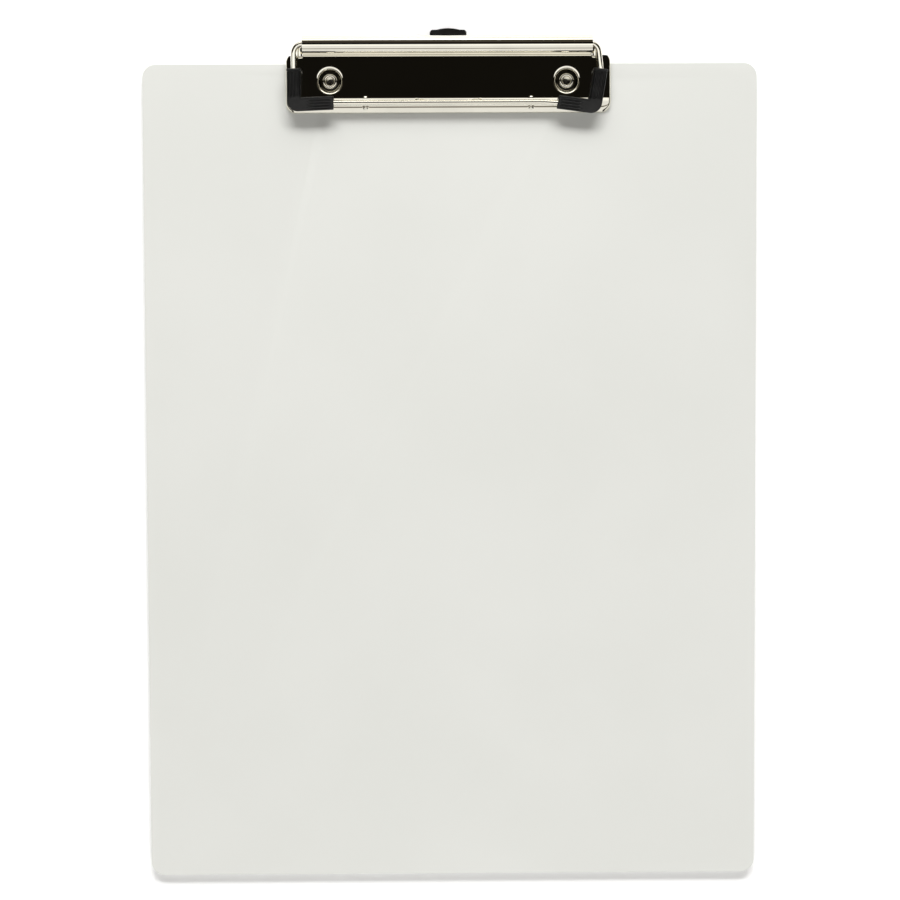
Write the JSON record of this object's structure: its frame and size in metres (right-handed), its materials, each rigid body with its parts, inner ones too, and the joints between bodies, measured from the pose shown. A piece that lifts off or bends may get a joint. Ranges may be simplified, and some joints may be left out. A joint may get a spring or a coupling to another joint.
{
  "type": "clipboard",
  "caption": "Flat white writing board with a low-profile spring wire clip, rubber corner grips and a slide-out hanging tab.",
  "frame": {"origin": "centre of the board's flat back face", "axes": "+X to the right, +Y along the board towards the clip, +Z out of the writing face"},
  "size_m": [0.2286, 0.3175, 0.0122],
  "materials": {
    "white_panel": "satin",
    "nickel_plate": "polished",
    "nickel_wire": "polished",
    "nickel_rivet": "polished",
    "black_rubber": "matt",
    "black_plastic": "satin"
  },
  "bodies": {
    "board": {"board": "white_panel", "base_plate": "nickel_plate", "torsion_leg_left": "nickel_wire", "torsion_leg_right": "nickel_wire", "rivet_left": "nickel_rivet", "rivet_right": "nickel_rivet"},
    "bail": {"bail_wire": "nickel_wire", "corner_grip_left": "black_rubber", "corner_grip_right": "black_rubber"},
    "hanger": {"hanger": "black_plastic"}
  },
  "joints": [
    {"name": "bail_hinge", "type": "hinge", "parent": "board", "child": "bail", "pos_m": [-0.0006, 0.15905, 0.01], "axis": [-1, 0, 0], "range_deg": [0, 50], "stiffness_Nm_per_rad": 0.8, "springref_deg": -17.19},
    {"name": "hanger_slide", "type": "slide", "parent": "board", "child": "hanger", "axis": [0, 1, 0], "range_m": [0, 0.012]}
  ]
}
